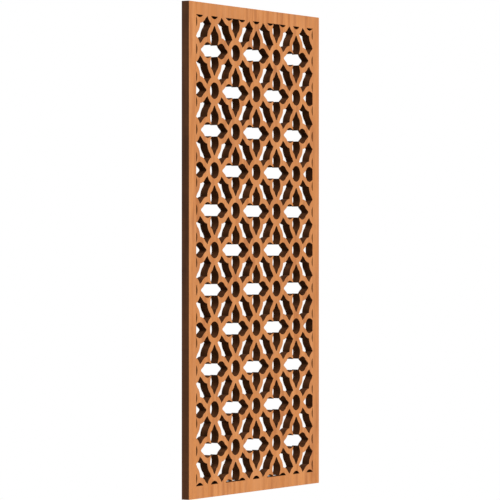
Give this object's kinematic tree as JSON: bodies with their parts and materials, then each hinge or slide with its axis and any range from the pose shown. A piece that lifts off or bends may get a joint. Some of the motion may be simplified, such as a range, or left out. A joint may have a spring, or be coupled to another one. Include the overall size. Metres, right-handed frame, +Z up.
{
  "type": "fretwork wall panel",
  "caption": "Tall pierced wood panel for a wall: a plain border round a lattice of rings and pointed crosses, cut right through one board.",
  "frame": {"origin": "on the back of the board, in the middle of the top margin, where the panel is fixed to the wall", "axes": "+Y out of the back and into the wall, +Z up along the height, +X to the right seen from the front"},
  "size_m": [0.617, 0.021, 1.2],
  "materials": {
    "wood": "satin lacquered orange-brown wood face with upright grain, dark brown edges and cut walls"
  },
  "bodies": {
    "root": {"fretwork_panel": "wood"}
  },
  "joints": []
}
